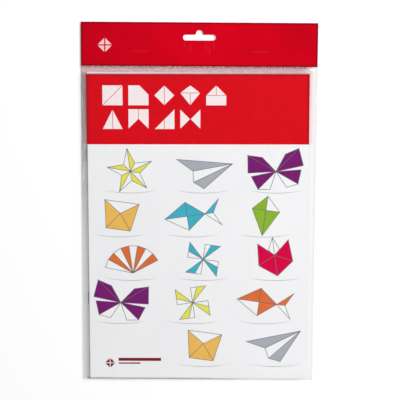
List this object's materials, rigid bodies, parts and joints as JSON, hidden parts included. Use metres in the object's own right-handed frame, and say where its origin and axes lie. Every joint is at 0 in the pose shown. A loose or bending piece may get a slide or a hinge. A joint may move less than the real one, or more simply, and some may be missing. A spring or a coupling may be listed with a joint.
{
  "type": "paper folding kit in a hang bag with a header card",
  "caption": "Shop pack of a paper folding kit: a stitched booklet with coloured sheets in a clear film bag, closed by a folded red header card with a hang slot.",
  "frame": {"origin": "on the surface that the pack lies on, under the middle of its outer box", "axes": "+X to the right across the cover, +Y up the page towards the header card, +Z out of the front cover"},
  "size_m": [0.223, 0.3476, 0.0049],
  "materials": {
    "red_card": "coated card printed solid red, satin gloss",
    "clear_film": "clear polypropylene film, glossy",
    "clear_glue": "dried hot-melt glue",
    "white_cover_card": "coated cover card, satin",
    "white_paper": "uncoated book paper, matt",
    "staple_wire": "galvanised wire, satin",
    "red_ink": "offset ink on coated card",
    "white_print": "bare coated card, satin",
    "line_ink": "thin dark grey offset line",
    "pale_grey_ink": "pale grey offset line",
    "dark_red_ink": "offset ink on coated card",
    "yellow_ink": "offset ink on coated card",
    "yellow_paper": "dyed folding paper, matt",
    "gold_ink": "offset ink on coated card",
    "gold_paper": "dyed folding paper, matt",
    "orange_ink": "offset ink on coated card",
    "orange_paper": "dyed folding paper, matt",
    "crimson_ink": "offset ink on coated card",
    "crimson_paper": "dyed folding paper, matt",
    "purple_ink": "offset ink on coated card",
    "purple_paper": "dyed folding paper, matt",
    "teal_ink": "offset ink on coated card",
    "teal_paper": "dyed folding paper, matt",
    "green_ink": "offset ink on coated card",
    "green_paper": "dyed folding paper, matt",
    "grey_ink": "offset ink on coated card",
    "grey_paper": "dyed folding paper, matt"
  },
  "bodies": {
    "root": {"header_card": "red_card", "header_badge": "white_print", "glue_pads": "clear_glue", "bag": "clear_film", "booklet_cover": "white_cover_card", "booklet_pages": "white_paper", "staple_upper": "staple_wire", "staple_lower": "staple_wire", "sheets_yellow": "yellow_paper", "sheets_gold": "gold_paper", "sheets_orange": "orange_paper", "sheets_crimson": "crimson_paper", "sheets_purple": "purple_paper", "sheets_teal": "teal_paper", "sheets_green": "green_paper", "sheets_grey": "grey_paper", "print_band": "red_ink", "print_title_steps": "white_print", "print_outlines": "line_ink", "print_bare_facets": "white_print", "print_yellow": "yellow_ink", "print_gold": "gold_ink", "print_orange": "orange_ink", "print_crimson": "crimson_ink", "print_purple": "purple_ink", "print_teal": "teal_ink", "print_green": "green_ink", "print_grey": "grey_ink", "print_ground_lines": "pale_grey_ink", "print_badge": "dark_red_ink"}
  },
  "joints": []
}
